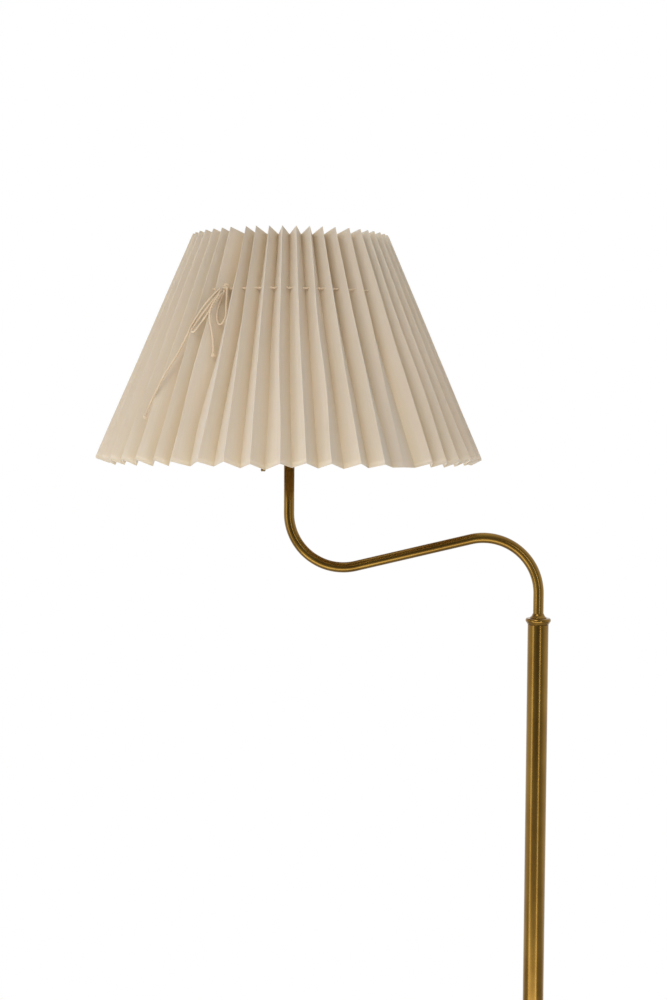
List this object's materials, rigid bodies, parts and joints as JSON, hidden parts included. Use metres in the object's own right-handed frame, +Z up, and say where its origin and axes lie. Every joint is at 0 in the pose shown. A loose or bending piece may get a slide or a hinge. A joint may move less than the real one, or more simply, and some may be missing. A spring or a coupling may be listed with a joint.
{
  "type": "bridge floor lamp",
  "caption": "Bridge floor lamp: round weighted base, straight pole, S-bent swivelling arm that slides in the pole, pleated drawstring shade and pull-chain lampholder.",
  "frame": {"origin": "on the floor, at the centre of the base's underside and on the pole's axis", "axes": "+Z up along the pole; -X is the way the arm reaches at rest; -Y is the side that the picture sees"},
  "size_m": [0.5534, 0.3668, 1.3968],
  "materials": {
    "aged_brass": "antique brown patina, satin polished",
    "cast_iron": "raw sand casting",
    "felt": "dark pressed felt",
    "zinc_steel": "zinc plated",
    "black_rubber": "matt moulded",
    "white_plastic": "moulded",
    "nylon": "natural nylon",
    "spring_bronze": "bright strip",
    "lead_sheath": "gold PVC sheath",
    "phenolic": "brown phenolic moulding",
    "porcelain": "white glaze",
    "bulb_metal": "rolled thread",
    "bulb_glass": "clear blown glass",
    "filament": "yellow phosphor coating",
    "chain_metal": "tarnished",
    "frame_wire": "white powder coat",
    "pleated_cotton": "plain-weave cotton on a stiff backing, knife folded",
    "cotton_cord": "two-ply twisted cord"
  },
  "bodies": {
    "stand": {"base_cover": "aged_brass", "base_weight": "cast_iron", "base_felt": "felt", "base_nipple": "zinc_steel", "base_washer": "zinc_steel", "base_nut": "zinc_steel", "cord_gland": "black_rubber", "terminal_block": "white_plastic", "terminal_screws": "zinc_steel", "cord_clamp": "white_plastic", "clamp_screws": "zinc_steel", "foot_collar": "aged_brass", "pole_plug": "zinc_steel", "pole_tube": "aged_brass", "collar_bead": "aged_brass", "collar_neck": "aged_brass", "guide_liner": "nylon", "lead_in_pole": "lead_sheath"},
    "glide": {"glide_bush": "nylon", "friction_ring": "spring_bronze"},
    "arm": {"arm_tube": "aged_brass", "stem_ring": "aged_brass", "lampholder_cap": "aged_brass", "lampholder_skirt": "aged_brass", "shade_ring_lower": "aged_brass", "shade_ring_upper": "aged_brass", "chain_outlet": "aged_brass", "shank_nut": "zinc_steel", "shank_ring": "zinc_steel", "contact_shell": "spring_bronze", "centre_contact": "spring_bronze", "lead_in_arm": "lead_sheath", "switch_block": "phenolic", "porcelain_insert": "porcelain", "bulb_cap": "bulb_metal", "bulb_contact": "bulb_metal", "bulb_glass": "bulb_glass", "bulb_stem": "bulb_glass", "bulb_filaments": "filament", "frame_ring_top": "frame_wire", "frame_ring_rim": "frame_wire", "frame_struts": "frame_wire", "frame_arms": "frame_wire", "frame_washer": "frame_wire", "shade_pleated": "pleated_cotton", "drawstring": "cotton_cord", "bow_knot": "cotton_cord", "bow_loop_right": "cotton_cord", "bow_loop_left": "cotton_cord", "bow_tail_long": "cotton_cord", "bow_tail_short": "cotton_cord"},
    "pull": {"pull_chain": "chain_metal", "pull_knob": "chain_metal"}
  },
  "joints": [
    {"name": "arm_height", "type": "slide", "parent": "stand", "child": "glide", "axis": [0, 0, 1], "range_m": [0, 0.25]},
    {"name": "arm_swivel", "type": "hinge", "parent": "glide", "child": "arm", "pos_m": [0, 0, 1.028], "axis": [0, 0, 1], "range_deg": [-170, 170]},
    {"name": "pull_switch", "type": "slide", "parent": "arm", "child": "pull", "axis": [0, 0, -1], "range_m": [0, 0.008], "stiffness_N_per_m": 200}
  ]
}
